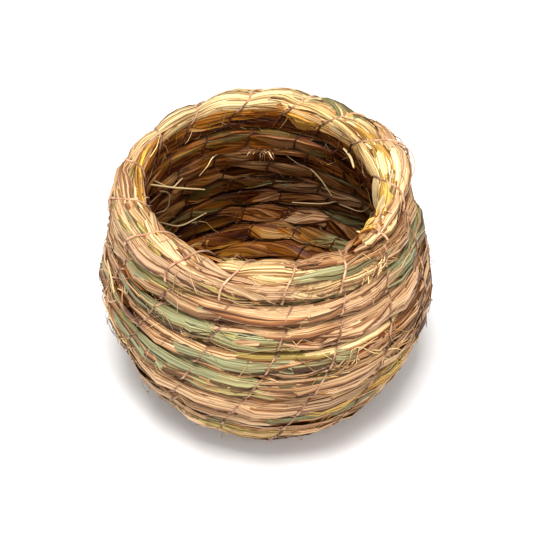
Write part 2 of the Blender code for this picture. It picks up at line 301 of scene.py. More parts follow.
# single straws, each through a few places (course, azimuth, degrees round the section, mm off the
# skin), then half its thickness (mm), its tone and its shade
STRAY_STRAWS = (
    (((12, 163, 150, 0.2), (11, 146, 165, 4.0), (10, 127, 160, 8.0)), 0.42, 0.60, 1.15),
    (((12, 158, 165, 0.2), (11, 146, 172, 3.0), (11, 136, 172, 5.0)), 0.30, 0.50, 1.1),
    (((11, 110, 128, 2.5), (11, 114, 138, 3.6), (11, 117, 146, 2.8), (11, 121, 160, 3.8),
      (11, 126, 180, 3.0)), 0.22, 0.64, 1.8),
    (((13, 40, 196, 0.2), (13, 33, 200, 1.8), (13, 26, 200, 2.4)), 0.50, 0.60, 1.15),
    (((10, 68, 150, 0.6), (10, 62, 176, 2.0), (9, 57, 176, 2.4)), 0.26, 0.60, 1.15),
    (((13, -31, 172, 0.2), (13, -30, 186, 2.6), (13, -28, 192, 5.4)), 0.42, 0.66, 1.7),
    (((13, 6, 84, 0.6), (13, -2, 60, 4.6), (13, -12, 58, 3.6), (12, -16, 62, 0.6)), 0.20, 0.46, 1.0),
    (((13, 20, 60, 0.6), (13, 14, 40, 3.6), (13, 6, 30, 3.0), (13, 0, 20, 0.6)), 0.20, 0.46, 1.0),
    (((13, -119, 60, 0.4), (13, -121, 20, 2.0), (12, -124, 40, 1.8), (12, -124, 0, 1.0)), 0.20, 0.26, 1.0),
    (((9, -163, 20, 0.6), (9, -157, 30, 2.4), (10, -152, 0, 1.4)), 0.28, 0.40, 1.0),
    (((8, -152, 30, 0.6), (8, -157, 50, 2.4), (9, -162, 10, 2.6)), 0.34, 0.58, 1.0),
    (((10, -156, 0, 0.6), (10, -161, 20, 2.0), (10, -166, 50, 2.6)), 0.40, 0.58, 1.1),
    (((9, 50, 176, 0.6), (8, 62, 176, 4.0), (8, 78, 180, 3.0)), 0.30, 0.48, 1.0),
    (((9, 150, 176, 0.6), (8, 140, 176, 4.0), (8, 122, 180, 3.0)), 0.34, 0.60, 1.0),
    (((11, 152, 160, 0.6), (11, 148, 176, 3.0), (10, 150, 170, 4.0), (10, 156, 176, 1.0)), 0.28, 0.40, 0.8),
    (((10, 30, 176, 0.6), (9, 38, 176, 3.0), (9, 52, 180, 3.4)), 0.26, 0.36, 1.0),
)

# ---- colours along the scale of tones, and streaks along a blade ----
GRASS_TONES = (("brown", 0.0), ("russet", 0.14), ("tan", 0.28), ("salmon", 0.42), ("straw", 0.56),
               ("pale", 0.67), ("gold", 0.76), ("olive", 0.84), ("sage", 0.92), ("green", 1.0))
# how wide and how long each kind of streak is (mm), and its detail. The leaf's veins are about
# 0.3 mm apart; it dries into creases nearly a millimetre apart, and its colour drifts in patches
GRASS_STREAKS = {"veins": (0.32, 60.0, 1.0), "creases": (0.8, 45.0, 1.0), "patches": (6.0, 25.0, 3.0)}

# ---- stage ----
FLOOR_REACH = 6.0
CAMERA_ELEVATION = math.radians(45.0)
CAMERA_DISTANCE = 0.6
CAMERA_TARGET = np.array((0.0, 0.0, 0.045))
SENSOR_WIDTH = 36.0
FOCAL_LENGTH = SENSOR_WIDTH * 1645.0 / 540.0       # about 110 mm
SIDE_SHIFT = 0.002
ROOM_LIGHT = 0.62
# square soft lights: name, place, side (m) and power (W); each is turned to the camera's target
LAMPS = (
    ("top_light", (-0.05, -0.25, 1.1), 0.36, 12.6),
    ("left_light", (-0.95, -0.7, 0.45), 0.8, 2.8),
    ("right_light", (0.95, -0.7, 0.45), 0.8, 4.0),
)


# ------------------------------------------------------------------ the rope's shape


def smooth_step(value):
    """0 below 0, 1 above 1 and a smooth S between: three squares less two cubes."""
    share = np.clip(value, 0.0, 1.0)
    return share * share * (3.0 - 2.0 * share)


def bezier(p0, p1, p2, p3, count):
    """Points of a cubic curve from its two ends and two handles."""
    t = np.linspace(0.0, 1.0, count)[:, None]
    weights = ((1 - t) ** 3, 3 * t * (1 - t) ** 2, 3 * t * t * (1 - t), t ** 3)
    return sum(w * np.array(p) for w, p in zip(weights, (p0, p1, p2, p3)))


def side_outline():
    """Arc length, radius, height and outward direction along the wall's middle line.

    The line is flat over the floor, curves up to the belly and in to the rim, and goes straight up
    past it. Its direction is the change of radius and height, averaged over nine steps.
    """
    floor = np.array(((INNERMOST_ARC - 1.0 * MM, FLOOR_END[1]), (0.0, FLOOR_END[1])))
    foot = bezier(FLOOR_END, FLOOR_HANDLE, BELLY_LOW_HANDLE, BELLY, OUTLINE_POINTS)
    shoulder = bezier(BELLY, BELLY_HIGH_HANDLE, RIM_LOW_HANDLE, RIM, OUTLINE_POINTS)
    above = np.array((RIM[0], RIM[1] + RIM_ROPE_HEIGHT))
    points = np.vstack((floor, foot, shoulder[1:], above))
    arc = np.concatenate(([0.0], np.cumsum(np.hypot(*np.diff(points, axis=0).T)))) + floor[0, 0]
    even = np.arange(arc[0], arc[-1], OUTLINE_STEP)
    radius = np.interp(even, arc, points[:, 0])
    height = np.interp(even, arc, points[:, 1])
    soft = np.ones(9) / 9.0
    run = np.gradient(radius)
    rise = np.gradient(height)
    run[4:-4] = np.convolve(run, soft, "valid")
    rise[4:-4] = np.convolve(rise, soft, "valid")
    length = np.hypot(run, rise)
    return even, radius, height, rise / length, -run / length, arc[-1] - RIM_ROPE_HEIGHT


OUT_ARC, OUT_RADIUS, OUT_HEIGHT, OUT_NORMAL_R, OUT_NORMAL_Z, RIM_ARC = side_outline()


def rim_size(turn):
    """Size of the rim's rope: it swells where it starts and thins out to its tip."""
    swell = smooth_step((turn - RIM_FROM) / RIM_SWELL_TURNS)
    taper = smooth_step((turn - (TURNS - TAPER_TURNS)) / TAPER_TURNS)
    size = RIM_START_SIZE + (1.0 - RIM_START_SIZE) * swell
    return size + (TIP_SIZE - size) * taper


def wall_pitch():
    """Distance from turn to turn that brings the middle of the last turn up to the rim.

    It is what is left of the outline, past the start's room and under half the rim's rope, shared
    among the turns; the first turn counts for less, because the rope starts thin.
    """
    first_turn_run = 0.5 * (1.0 + START_SIZE)
    pitches = first_turn_run + (TURNS - 2.5) + 0.5
    start_room = START_RADIUS + (1.0 - first_turn_run) * WIRE_ROOM
    return (RIM_ARC - start_room - 0.5 * (RIM_ROPE_HEIGHT + WIRE_ROOM)) / pitches


PITCH = wall_pitch()


def rope_height(turn):
    """Height of the rope along the wall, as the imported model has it."""
    start = START_SIZE + (1.0 - START_SIZE) * smooth_step(turn / START_TURNS)
    side = np.sin(2.0 * math.pi * (turn - TURNS) + LEVELLING_TURN)
    levelled = LEVELLING * side * smooth_step((turn - LEVELLING_FROM) / LEVELLING_OVER)
    wall = (PITCH - WIRE_ROOM) * start + levelled
    return np.where(turn >= RIM_FROM, RIM_ROPE_HEIGHT * rim_size(turn), wall)


def rope_arcs():
    """Arc length of the rope's middle line at every station: each turn rests on the one before."""
    turns = np.arange(round(TURNS * STATIONS) + 1) / STATIONS
    heights = rope_height(turns)
    first_run = 0.5 * (heights[0] + heights[STATIONS]) + WIRE_ROOM
    arcs = START_RADIUS + first_run * turns
    for k in range(STATIONS, len(turns)):
        arcs[k] = arcs[k - STATIONS] + 0.5 * (heights[k - STATIONS] + heights[k]) + WIRE_ROOM
    return turns, arcs


TURN_GRID, ARC_GRID = rope_arcs()


def place(turn, along, outward):
    """Room coordinates of points given by turn, along and outward.

    The outline gives radius, height and the outward direction at the rope's arc length plus along.
    The mouth is moved sideways, and its front is flattened with the fourth power of the sine.
    """
    arc = np.maximum(np.interp(turn, TURN_GRID, ARC_GRID) + along, INNERMOST_ARC)
    azimuth = TIP_AZIMUTH + 2.0 * math.pi * (TURNS - turn)
    radius = np.interp(arc, OUT_ARC, OUT_RADIUS)
    height = np.interp(arc, OUT_ARC, OUT_HEIGHT)
    normal_r = np.interp(arc, OUT_ARC, OUT_NORMAL_R)
    normal_z = np.interp(arc, OUT_ARC, OUT_NORMAL_Z)
    mouth = smooth_step((height - MOUTH_SHAPE_FROM) / (RIM[1] - MOUTH_SHAPE_FROM))
    front = np.maximum(-np.sin(azimuth), 0.0) ** 4
    radial = radius * (1.0 - MOUTH_FLAT_FRONT * mouth * front) + outward * normal_r
    x = radial * np.cos(azimuth) + MOUTH_DRIFT * mouth + CENTRE_SHIFT
    return np.stack((x, radial * np.sin(azimuth), height + outward * normal_z), axis=-1)


def wrap_wander(count):
    """How far the wraps stray from even spacing, as a share of a wrap: a few slow waves."""
    return sum(size * np.sin(rate * count + start) for size, rate, start in WRAP_WAVES)


def wire_lean(turn, angle):
    """Extra slope of the wraps across the top and inner side of the rim, as a share of a wrap."""
    return RIM_LEAN * np.sin(angle - RIM_LEAN_SIDE) * smooth_step((turn - TURNS + 1.0) / RIM_LEAN_OVER)


def wrap_count(turn, angle):
    """How many wraps of the wire lie above a point of the rope, at an angle round its section."""
    count = (WIRE_TOP_TURN - turn) * WRAPS_PER_TURN - WIRE_PHASE - COUNTED_FROM - angle / (2.0 * math.pi)
    count = count - wire_lean(turn, angle)
    return count + wrap_wander(count)


def wrap_turn(count, angle):
    """The turn at which a given wrap passes an angle of the section: wrap_count turned round."""
    even = count - wrap_wander(count)
    even = count - wrap_wander(even)
    past = even + WIRE_PHASE + COUNTED_FROM + angle / (2.0 * math.pi)
    turn = WIRE_TOP_TURN - past / WRAPS_PER_TURN
    return turn - wire_lean(turn, angle) / WRAPS_PER_TURN


def ring_length(turn):
    """Length of a turn of the rope where it is now, along its middle line."""
    return 2.0 * math.pi * np.interp(np.interp(turn, TURN_GRID, ARC_GRID), OUT_ARC, OUT_RADIUS)


def rope_sizes(turn):
    """Half thickness and half height of the rope as the blades fill it."""
    rim = turn >= RIM_FROM
    size = np.where(rim, rim_size(turn), 1.0)
    half_height = 0.5 * (rope_height(turn) + np.where(rim, RIM_FILL, WALL_FILL * WIRE_ROOM))
    half_thickness = np.where(rim, RIM_HALF_THICKNESS * size, HALF_THICKNESS)
    return half_thickness, half_height


def uneven(turn, angle):
    """How far the skin stands out by hand-made unevenness: a sum of soft bumps."""
    azimuth = np.degrees(TIP_AZIMUTH + 2.0 * math.pi * (TURNS - turn))
    height = np.interp(np.interp(turn, TURN_GRID, ARC_GRID), OUT_ARC, OUT_HEIGHT) / MM
    total = 0.0
    for at, at_spread, up, up_spread, side, side_spread, out in SWELLS:
        round_off = ((azimuth - at + 180.0) % 360.0 - 180.0) / at_spread
        side_off = ((np.degrees(angle) - side + 180.0) % 360.0 - 180.0) / side_spread
        up_off = (height - up) / up_spread
        total = total + out * MM * np.exp(-(round_off ** 2) - side_off ** 2 - up_off ** 2)
    return total


def clear_of_floor(points):
    """Presses what is under a small height h flat, in the same order: z becomes h exp(z / h - 1)."""
    height = points[..., 2]
    pressed = PRESSED_FLAT * np.exp(np.minimum(height / PRESSED_FLAT - 1.0, 0.0))
    points[..., 2] = np.where(height < PRESSED_FLAT, pressed, height)
    return points


def facing_inside(angle):
    """1 where a side of the rope faces into the nest, 0 where it faces up, down or out."""
    return smooth_step((-np.cos(angle) - 0.1) / 0.5)


def rope_surface(turn, angle, lift):
    """Points of the rope's skin: a rounded oval section, drawn in where the wire ties it.

    angle goes round the section, 0 outwards and a quarter turn up the wall. lift is metres off it.
    Outward is the half thickness times a power of the cosine, along the half height times the same
    power of the sine. Both shrink by a bell curve of the distance to the nearest wrap, and grow
    with the lift. The soft bumps of SWELLS are added last.
    """
    half_thickness, half_height = rope_sizes(turn)
    cosine = np.cos(angle)
    sine = np.sin(angle)
    power = np.where((cosine < 0.0) & (turn < RIM_FROM), INSIDE_POWER, SECTION_POWER)
    outward = half_thickness * np.sign(cosine) * np.abs(cosine) ** power
    along = half_height * np.sign(sine) * np.abs(sine) ** power
    count = wrap_count(turn, angle)
    spacing = np.maximum(ring_length(turn), SHORTEST_RING) / WRAPS_PER_TURN
    away = np.abs(count - np.round(count)) * spacing
    tied = np.exp(-((away / PINCH_WIDTH) ** 2)) * smooth_step((turn - TIED_FROM) / TIED_OVER)
    facing_in = 0.5 - 0.5 * cosine
    drawn = tied * np.where(turn > RIM_FROM, RIM_PINCH, 1.0 - (1.0 - INSIDE_PINCH) * facing_in)
    grow = 1.0 + (lift * (1.0 - WIRE_SQUEEZE * tied)) / (0.5 * (half_thickness + half_height))
    outward = outward * grow * (1.0 - PINCH_OUTWARD * drawn)
    along = along * grow * (1.0 - PINCH_ALONG * drawn)
    swell = uneven(turn, angle)
    outward = outward + swell * cosine
    along = along + swell * sine
    return clear_of_floor(place(turn, along, outward))


# ------------------------------------------------------------------ meshes


def closed_strips(points):
    """Faces of strips: points is strips x rings x corners x 3, each ring closed, each end capped."""
    strips, rings, corners = points.shape[:3]
    index = np.arange(strips * rings * corners).reshape(strips, rings, corners)
    here = index[:, :-1]
    beyond = index[:, 1:]
    quads = np.stack((here, np.roll(here, -1, axis=2), np.roll(beyond, -1, axis=2), beyond), axis=-1)
    quads = quads.reshape(-1, 4)
    first = index[:, 0, ::-1]
    last = index[:, -1]
    return quads, np.vstack((first, last))


def make_mesh(name, batches, material, sharp_angle):
    """One object from batches of strips; each batch is its points and its named corner values."""
    all_points = []
    loops = []
    sizes = []
    values = {}
    start = 0
    for points, fields in batches:
        all_points.append(points.reshape(-1, 3))
        for faces in closed_strips(points):
            loops.append((faces + start).ravel())
            sizes.append(np.full(len(faces), faces.shape[1]))
        for field, data in fields.items():
            values.setdefault(field, []).append(np.broadcast_to(data, points.shape[:3]).reshape(-1))
        start += points.shape[0] * points.shape[1] * points.shape[2]
    coordinates = np.concatenate(all_points).astype(np.float32)
    corner = np.concatenate(loops).astype(np.int32)
    size = np.concatenate(sizes).astype(np.int32)
    mesh = bpy.data.meshes.new(name)
    mesh.vertices.add(len(coordinates))
    mesh.vertices.foreach_set("co", coordinates.ravel())
    mesh.loops.add(len(corner))
    mesh.loops.foreach_set("vertex_index", corner)
    mesh.polygons.add(len(size))
    mesh.polygons.foreach_set("loop_start", np.concatenate(([0], np.cumsum(size)[:-1])).astype(np.int32))
    mesh.update(calc_edges=True)
    values = {field: np.concatenate(data).astype(np.float32) for field, data in values.items()}
    across = values.pop("across", None)
    lengthwise = values.pop("lengthwise", None)
    if across is not None:
        layer = mesh.uv_layers.new(name="blade")
        uv = np.stack((across[corner], lengthwise[corner]), axis=-1)
        layer.data.foreach_set("uv", uv.ravel().astype(np.float32))
    for field, data in values.items():
        attribute = mesh.attributes.new(field, "FLOAT", "POINT")
        attribute.data.foreach_set("value", data)
    mesh.shade_smooth()
    mesh.set_sharp_from_angle(angle=sharp_angle)
    mesh.validate()
    mesh.materials.append(material)
    piece = bpy.data.objects.new(name, mesh)
    bpy.context.scene.collection.objects.link(piece)
    return piece


def tubes(paths, radius, sides):
    """Round tubes along paths (strips x rings x 3): a circle square to the path at every point."""
    forward = np.gradient(paths, axis=1)
    forward /= np.linalg.norm(forward, axis=-1, keepdims=True) + 1e-12
    not_steep = np.abs(forward[..., 2]) < 0.8
    reference = np.zeros_like(forward)
    reference[..., 2] = np.where(not_steep, 1.0, 0.0)
    reference[..., 0] = np.where(not_steep, 0.0, 1.0)
    side = np.cross(forward, reference)
    side /= np.linalg.norm(side, axis=-1, keepdims=True) + 1e-12
    up = np.cross(side, forward)
    turn = np.linspace(0.0, 2.0 * math.pi, sides, endpoint=False)
    radius = (np.asarray(radius) * np.ones(paths.shape[:2]))[..., None, None]
    ring = side[:, :, None] * np.cos(turn)[:, None] + up[:, :, None] * np.sin(turn)[:, None]
    return paths[:, :, None] + ring * radius


# ------------------------------------------------------------------ blades


def blades(draw, count, turn_range, rings, width, lift, angle_range=ALL_ROUND, tone=(0.3, 0.1),
           slant=(0.3, 0.5), tilt=0.45 * MM, across=ACROSS, shade=(1.0, 0.14)):
    """Flat leaf blades laid along the rope: strips of its skin, each with its own lift.

    The rings of a blade stand a third of a wrap apart, so that every third one is under the wire.
    Its angle round the section drifts as it goes (slant); its width is an arc of the section. Its
    lift is an arch across it, plus a lean that is straight across it, plus a fold along its middle,
    plus pleats and crumples, less a high power of the distance from its middle, which dips its
    ends into the bundle. tone, slant and shade are each a middle and a spread.
    """
    shape = (count, 1, 1)

    def pick(low, high):
        return draw.uniform(low, high, shape)

    def vary(middle, spread):
        return draw.normal(middle, spread, shape)

    # where it lies on the rope
    on_rim = turn_range[0] >= RIM_FROM
    if on_rim:
        rings = int(RIM_RINGS * rings)
        tilt = min(tilt, RIM_TILT)
    k = np.arange(rings)[None, :, None]
    u = k / (rings - 1.0)
    centre = pick(*turn_range)
    room = ring_length(centre) / WRAPS_PER_TURN
    wall = room > WALL_SPACING
    floor_step = FLOOR_RING_STEP / np.maximum(room, 1.0 * MM) * pick(0.8, 1.1)
    step = np.where(wall, 1.0 / RINGS_PER_WRAP, floor_step)
    if on_rim:
        step = pick(*RIM_RING_STEP)
    step = np.minimum(step, LONGEST_BLADE * WRAPS_PER_TURN / rings)
    middle = pick(*angle_range)
    first = wrap_count(centre, middle) - step * 0.5 * (rings - 1.0)
    if not on_rim:
        first = np.where(wall, np.round(first * RINGS_PER_WRAP) / RINGS_PER_WRAP, first)
    count_at = first + step * k
    count_at = count_at + step * pick(-0.4, 0.4) * ((k == 0) | (k == rings - 1))
    reach_of_turn = step * room * (k - 0.5 * (rings - 1.0))
    drift = vary(*slant) * reach_of_turn / (60.0 * MM)
    wave = vary(0.0, 0.10) * np.sin(u * pick(4.0, 11.0) + pick(*WAVE_START))
    middle = middle - drift + wave
    last_turn = TURNS + pick(-0.03, 1.0) * PAST_THE_TIP
    turn = np.clip(wrap_turn(count_at, middle), INNERMOST_TURN, last_turn)

    # its width
    half_thickness, half_height = rope_sizes(turn)
    reach = np.sqrt((half_thickness * np.sin(middle)) ** 2 + (half_height * np.cos(middle)) ** 2)
    low_end = np.clip(u / pick(0.12, 0.5), 0.0, 1.0) ** 0.8
    high_end = np.clip((1.0 - u) / pick(0.12, 0.5), 0.0, 1.0) ** 0.8
    ripple = 1.0 + 0.14 * np.sin(u * pick(6.0, 16.0) + pick(*WAVE_START))
    breadth = pick(*width) * np.maximum(low_end * high_end, 0.10) * ripple

    # its lift off the rope
    e = across[None, None, :]
    full = breadth / FULL_WIDTH
    camber = pick(0.15, 0.55) * MM * full
    lean = vary(0.0, 1.0) * tilt * full * (1.0 + 0.8 * np.sin(u * pick(3.0, 8.0) + pick(*WAVE_START)))
    fold = vary(0.0, 0.30) * MM * full
    pleats = draw.normal(0.0, 0.20, (count, 1, len(across))) * MM * np.minimum(full, 1.2)
    crumple = draw.normal(0.0, 0.05, (count, rings, len(across))) * MM
    base = pick(*lift) + vary(0.0, 0.22) * MM * np.sin(u * pick(5.0, 14.0) + pick(*WAVE_START))
    base = base - TUCKED * np.abs(2.0 * u - 1.0) ** 6
    height = base + camber * (1.0 - e * e) + lean * e + fold * (np.abs(e) - 0.5) + pleats + crumple
    angle = middle + e * 0.5 * breadth / reach
    turns = np.broadcast_to(turn, height.shape)
    top = rope_surface(turns, angle, height)
    under_lift = base - BLADE_THICKNESS - np.abs(fold) * 0.5 - np.abs(lean) * 0.2
    points = np.concatenate((top, rope_surface(turn, middle, under_lift)), axis=2)

    # what its colour is read from
    inner = facing_inside(middle)
    inside_painted_shade = np.interp(turn_range[1], *INSIDE_PAINTED_SHADE)
    inside_shade = np.interp(turn_range[1], *INSIDE_SHADE)
    nothing = 0.0 * breadth
    fields = {
        "tone": np.clip(vary(*tone), 0.02, 0.98),
        # the inside's painted shade and light are multiplied in here, on top of each blade's own random
        # brightness
        "shade": np.clip(vary(*shade), 0.2, 1.35) * (1.0 + inside_shade * inner),
        "across": np.concatenate((e * 0.5 * breadth, nothing), axis=2) / MM + pick(0.0, 90.0),
        "lengthwise": reach_of_turn / MM + pick(0.0, 500.0),
        # depth carries painted shade: blades lying lower in the bundle, and those facing into the nest, are
        # painted darker
        "depth": np.clip(0.25 - 0.45 * base / MM + inside_painted_shade * inner, 0.0, 1.0),
        # painted shading across the blade: painted shade on the edge down the wall, a painted highlight on
        # the edge up it, 0.5 in between and underneath
        "edge": np.concatenate((0.5 + 0.5 * e + nothing, 0.5 + nothing), axis=2),
    }
    return points, fields


def rope_filling(turn_range, depth):
    """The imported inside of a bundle: the rope's own section, smaller, with ridges along it.

    The ridges are two sums of sines round the section, which wander as the rope goes on.
    """
    turn = np.linspace(turn_range[0], turn_range[1], FILLING_RINGS)[None, :, None]
    angle = np.linspace(-math.pi, math.pi, FILLING_CORNERS, endpoint=False)[None, None, :]
    ridge = np.sin(angle * 9.0 + 5.0 * np.sin(turn * 9.0)) + np.sin(angle * 5.0 - turn * 31.0)
    turns = np.broadcast_to(turn, (1, FILLING_RINGS, FILLING_CORNERS))
    points = rope_surface(turns, angle, 0.1 * depth * ridge - depth)
    # painted shade: the filling is dark brown in tone, shade and depth, standing for the shade deep in the
    # bundle
    fields = {"tone": 0.05, "shade": 0.4, "across": angle * 5.0, "depth": 1.0, "edge": 0.5,
              "lengthwise": turn * 330.0}
    return points, fields


def course_turns(index):
    """First and last turn of a bundle: the first holds one and a half turns."""
    last = FIRST_COURSE_TURNS + index
    return (0.0 if index == 0 else last - 1.0), last


def course_place(course, azimuth):
    """The turn at which a course (counted from 1) passes an azimuth given in degrees."""
    turn = TURNS - ((azimuth - math.degrees(TIP_AZIMUTH)) % 360.0) / 360.0
    return turn - (len(COURSES) - course)


def strewn_blades(draw, index, settings):
    """The blades of one course that lie by chance, from the inside of the bundle to its skin.

    The small courses of the floor have fewer of them. The rim's rope is twisted over its first
    third, so its blades cross it more steeply there.
    """
    turns = course_turns(index)
    rim = index == len(COURSES) - 1
    share = min(1.0, 0.45 + index / 7.0)
    wide = int(settings.wide_blades * share)
    narrow = int(settings.narrow_blades * share)
    # the courses under the eighth get a lighter tone: painted light, against the shade that the belly casts
    # on them
    middle_tone = 0.50 if rim else (0.40 if index < 8 else 0.34)
    slant, slant_spread = (0.4, 0.6) if rim else (0.3, 0.6)
    even = (1.0, 0.08 if index < 5 else 0.14)
    # dark is the painted shade of the slivers in the last layer
    dark = (0.4, 0.08)
    # how many, rings, widths (of the widest), lifts (mm), tone, shade and corners across
    layers = (
        (int(0.75 * wide), 12, (0.5, 1.0), (-1.6, -0.8), (middle_tone - 0.06, 0.09), even, ACROSS),
        (wide, 11, (0.4, 0.95), (-0.7, 0.4), (middle_tone, 0.09), even, ACROSS),
        (narrow, 9, (0.15, 0.4), (-0.6, 0.2 if rim else 0.7), (middle_tone + 0.04, 0.09), even,
         NARROW_ACROSS),
        (wide // 8, 11, (0.4, 0.8), (-0.2, 0.4), (0.91, 0.03), even, ACROSS),
        # painted shade: narrow dark slivers, standing for the shadowed gaps between blades
        (narrow // 4, 6, (0.1, 0.24), (0.25, 0.6), (0.06, 0.03), dark, NARROW_ACROSS),
    )
    if rim:
        stretches = ((0.36, (turns[0], turns[0] + 0.36), 1.8), (0.64, (turns[0] + 0.36, turns[1]), slant))
    else:
        stretches = ((1.0, turns, slant),)
    made = []
    for count, rings, widths, lifts, tone, shade, across in layers:
        spread = slant_spread + 0.5 * (across is NARROW_ACROSS)
        widths = (widths[0] * settings.blade_width, widths[1] * settings.blade_width)
        lifts = (lifts[0] * MM, lifts[1] * MM)
        for part, stretch, stretch_slant in stretches:
            made.append(blades(draw, int(part * count), stretch, rings, widths, lifts, tone=tone,
                               slant=(stretch_slant, spread), across=across, shade=shade))
    return made


def chosen_blades(draw, course):
    """The blades of CHOSEN_BLADES that lie in one course."""
    rows = [row for row in CHOSEN_BLADES if row[0] == course]
    made = []
    for _course, azimuth, side, rings, width, lift, tone, slant, count, scatter, side_scatter in rows:
        turn = course_place(course, azimuth)
        angle = math.radians(side)
        off = math.radians(side_scatter)
        made.append(blades(
            draw, count, (turn - scatter / 360.0, turn + scatter / 360.0 + 1e-6), rings,
            (0.85 * width * MM, 1.1 * width * MM), ((lift - 0.4) * MM, (lift - 0.1) * MM),
            (angle - off, angle + off + 1e-6), tone=(tone, 0.012 + 0.022 * (count > 3)),
            slant=(slant, 0.3 * (count > 1)), tilt=0.15 * MM))
    return made


# ------------------------------------------------------------------ loose fibres


def hairs(draw, count, turn_range, length, radius, lift, angle_range=ALL_ROUND, tone=(0.5, 0.15),
          stray=1.2, rings=6):
    """Thin fibres that leave the skin: each starts in it and rises along a curve to its free end.

    It runs along the rope and strays across it in a bend; its lift is a power of how far along it
    a point is, and it thins out with the cube of that.
    """
    shape = (count, 1)

    def pick(low, high):
        return draw.uniform(low, high, shape)

    u = np.linspace(0.0, 1.0, rings)[None, :]
    turn0 = pick(*turn_range)
    reach = pick(*length)
    heading = np.where(draw.random(shape) < 0.5, 1.0, -1.0)
    cross = draw.normal(0.0, stray, shape)
    slope = 1.0 / np.sqrt(1.0 + cross * cross)
    curl = draw.normal(0.0, 0.5, shape)
    turn = turn0 + heading * reach * slope * u / np.maximum(ring_length(turn0), 60.0 * MM)
    turn = np.clip(turn, 0.02, TURNS)
    angle = pick(*angle_range) + reach * slope * (cross * u + curl * u * u) / (6.0 * MM)
    rooted = 0.4 * MM
    rise = -rooted + (pick(*lift) + rooted) * u ** pick(0.5, 1.6)
    rise = rise + draw.normal(0.0, 0.12, (count, rings)) * MM
    path = rope_surface(turn, angle, rise)
    path[..., 2] += 0.35 * MM * np.exp(-path[..., 2] / (0.5 * MM))
    thickness = pick(*radius) * (1.0 - 0.6 * u ** 3)
    points = tubes(path, thickness, FIBRE_SIDES)
    fields = {
        "tone": np.clip(draw.normal(*tone, (count, 1, 1)), 0.02, 0.98),
        "shade": np.clip(draw.normal(1.05, 0.14, (count, 1, 1)), 0.6, 1.4),
        "across": np.arange(FIBRE_SIDES)[None, None, :] * 0.3 + pick(0.0, 90.0)[..., None],
        "lengthwise": (reach * u / MM)[..., None] + pick(0.0, 500.0)[..., None],
        "depth": 0.1,
        "edge": 0.5,
    }
    return points, fields


def tufts(draw):
    """The tufts of TUFTS: short fibres that start close together."""
    made = []
    for course, azimuth, side, scatter, side_scatter, count, longest, thick, lift, tone, shade in TUFTS:
        turn = course_place(course, azimuth)
        angles = (math.radians(side - side_scatter), math.radians(side + side_scatter))
        tuft, fields = hairs(
            draw, count, (turn - scatter / 360.0, turn + scatter / 360.0),
            (0.4 * longest * MM, longest * MM), (0.5 * thick * MM, thick * MM),
            (0.3 * lift * MM, lift * MM), angles, tone=(tone, 0.04), stray=0.9, rings=5)
        fields["shade"] = shade
        made.append((tuft, fields))
    return made


def free_strand(places, radius, tone, shade):
    """One loose straw through a few places, each a course, azimuth, angle and mm off the skin.

    Straight lines join the places, seven points to each, and every point is then averaged with
    the three on each side of it. Past its ends the line is turned round, so that they stay put.
    """
    knots = []
    for course, azimuth, side, lift in places:
        knots.append(rope_surface(np.array(course_place(course, azimuth)), np.radians(side), lift * MM))
    u = np.linspace(0.0, len(knots) - 1.0, 7 * len(knots))
    soft = np.ones(7) / 7.0
    path = []
    for values in np.array(knots).T:
        line = np.interp(u, np.arange(len(knots)), values)
        before = 2 * line[0] - line[3:0:-1]
        after = 2 * line[-1] - line[-2:-5:-1]
        path.append(np.convolve(np.concatenate((before, line, after)), soft, "valid"))
    path = np.stack(path, axis=-1)[None]
    ring = tubes(path, radius * MM * (1.0 - 0.35 * (u / u[-1]) ** 4)[None], STRAW_SIDES)
    return ring, {"tone": tone, "shade": shade, "across": 3.0, "lengthwise": (u * 8.0)[None, :, None],
                  "depth": 0.1, "edge": 0.5}


# ------------------------------------------------------------------ wire


def wire_shade(angle):
    """Painted brightness of the wire round the rope: painted shade darkens the wraps inside the nest."""
    return 0.7 - 0.42 * facing_inside(angle)


def wall_wire(radius):
    """The wire of the wall and the rim, from the free end down, as one tube.

    It goes once round the section for each wrap while it goes down the spiral. It stands a little
    off the skin, most on the outside, and clear of it on the rim.
    """
    wraps = (WIRE_TOP_TURN - WALL_WIRE_FROM) * WRAPS_PER_TURN
    raw = np.linspace(0.0, wraps, int(wraps * POINTS_PER_WRAP))
    even = np.interp(raw, raw + wrap_wander(raw), raw)
    angle = ((raw + 0.5) % 1.0 - 0.5) * 2.0 * math.pi
    turn = WIRE_TOP_TURN - (even + WIRE_PHASE + COUNTED_FROM) / WRAPS_PER_TURN
    turn = turn - wire_lean(turn, angle) / WRAPS_PER_TURN
    rim_top = (turn > RIM_FROM) * smooth_step(np.cos(angle - RIM_WIRE_SIDE) + 0.6)
    lift = (0.25 + 0.3 * np.cos(angle) ** 2 + 0.55 * rim_top) * MM
    path = rope_surface(turn, angle, lift / (1.0 - WIRE_SQUEEZE))[None]
    # painted highlight: the wire on top of the rim is painted lighter
    shade = wire_shade(angle) + 0.3 * rim_top
    return tubes(path, radius, WIRE_SIDES), {"shade": shade[None, :, None]}


def floor_wire(radius):
    """The wire of the floor, sunk in the grass: evenly spaced wraps, never under the ground."""
    grid = np.linspace(FLOOR_WIRE_TURNS[0], FLOOR_WIRE_TURNS[1], 400)
    wraps = np.cumsum(ring_length(grid)) * (grid[1] - grid[0]) / FLOOR_WIRE_SPACING
    raw = np.linspace(wraps[0], wraps[-1], int(wraps[-1] * POINTS_PER_WRAP))
    turn = np.interp(raw, wraps, grid)
    angle = -((raw + 0.5) % 1.0 - 0.5) * 2.0 * math.pi
    path = rope_surface(turn, angle, (0.15 + 0.35 * np.cos(angle) ** 2) * MM)[None]
    path[..., 2] = np.maximum(path[..., 2], radius + 0.1 * MM)
    # painted shade: the floor's wraps inside the nest are painted darker
    return tubes(path, radius, WIRE_SIDES), {"shade": wire_shade(angle)[None, :, None]}


# ------------------------------------------------------------------ materials


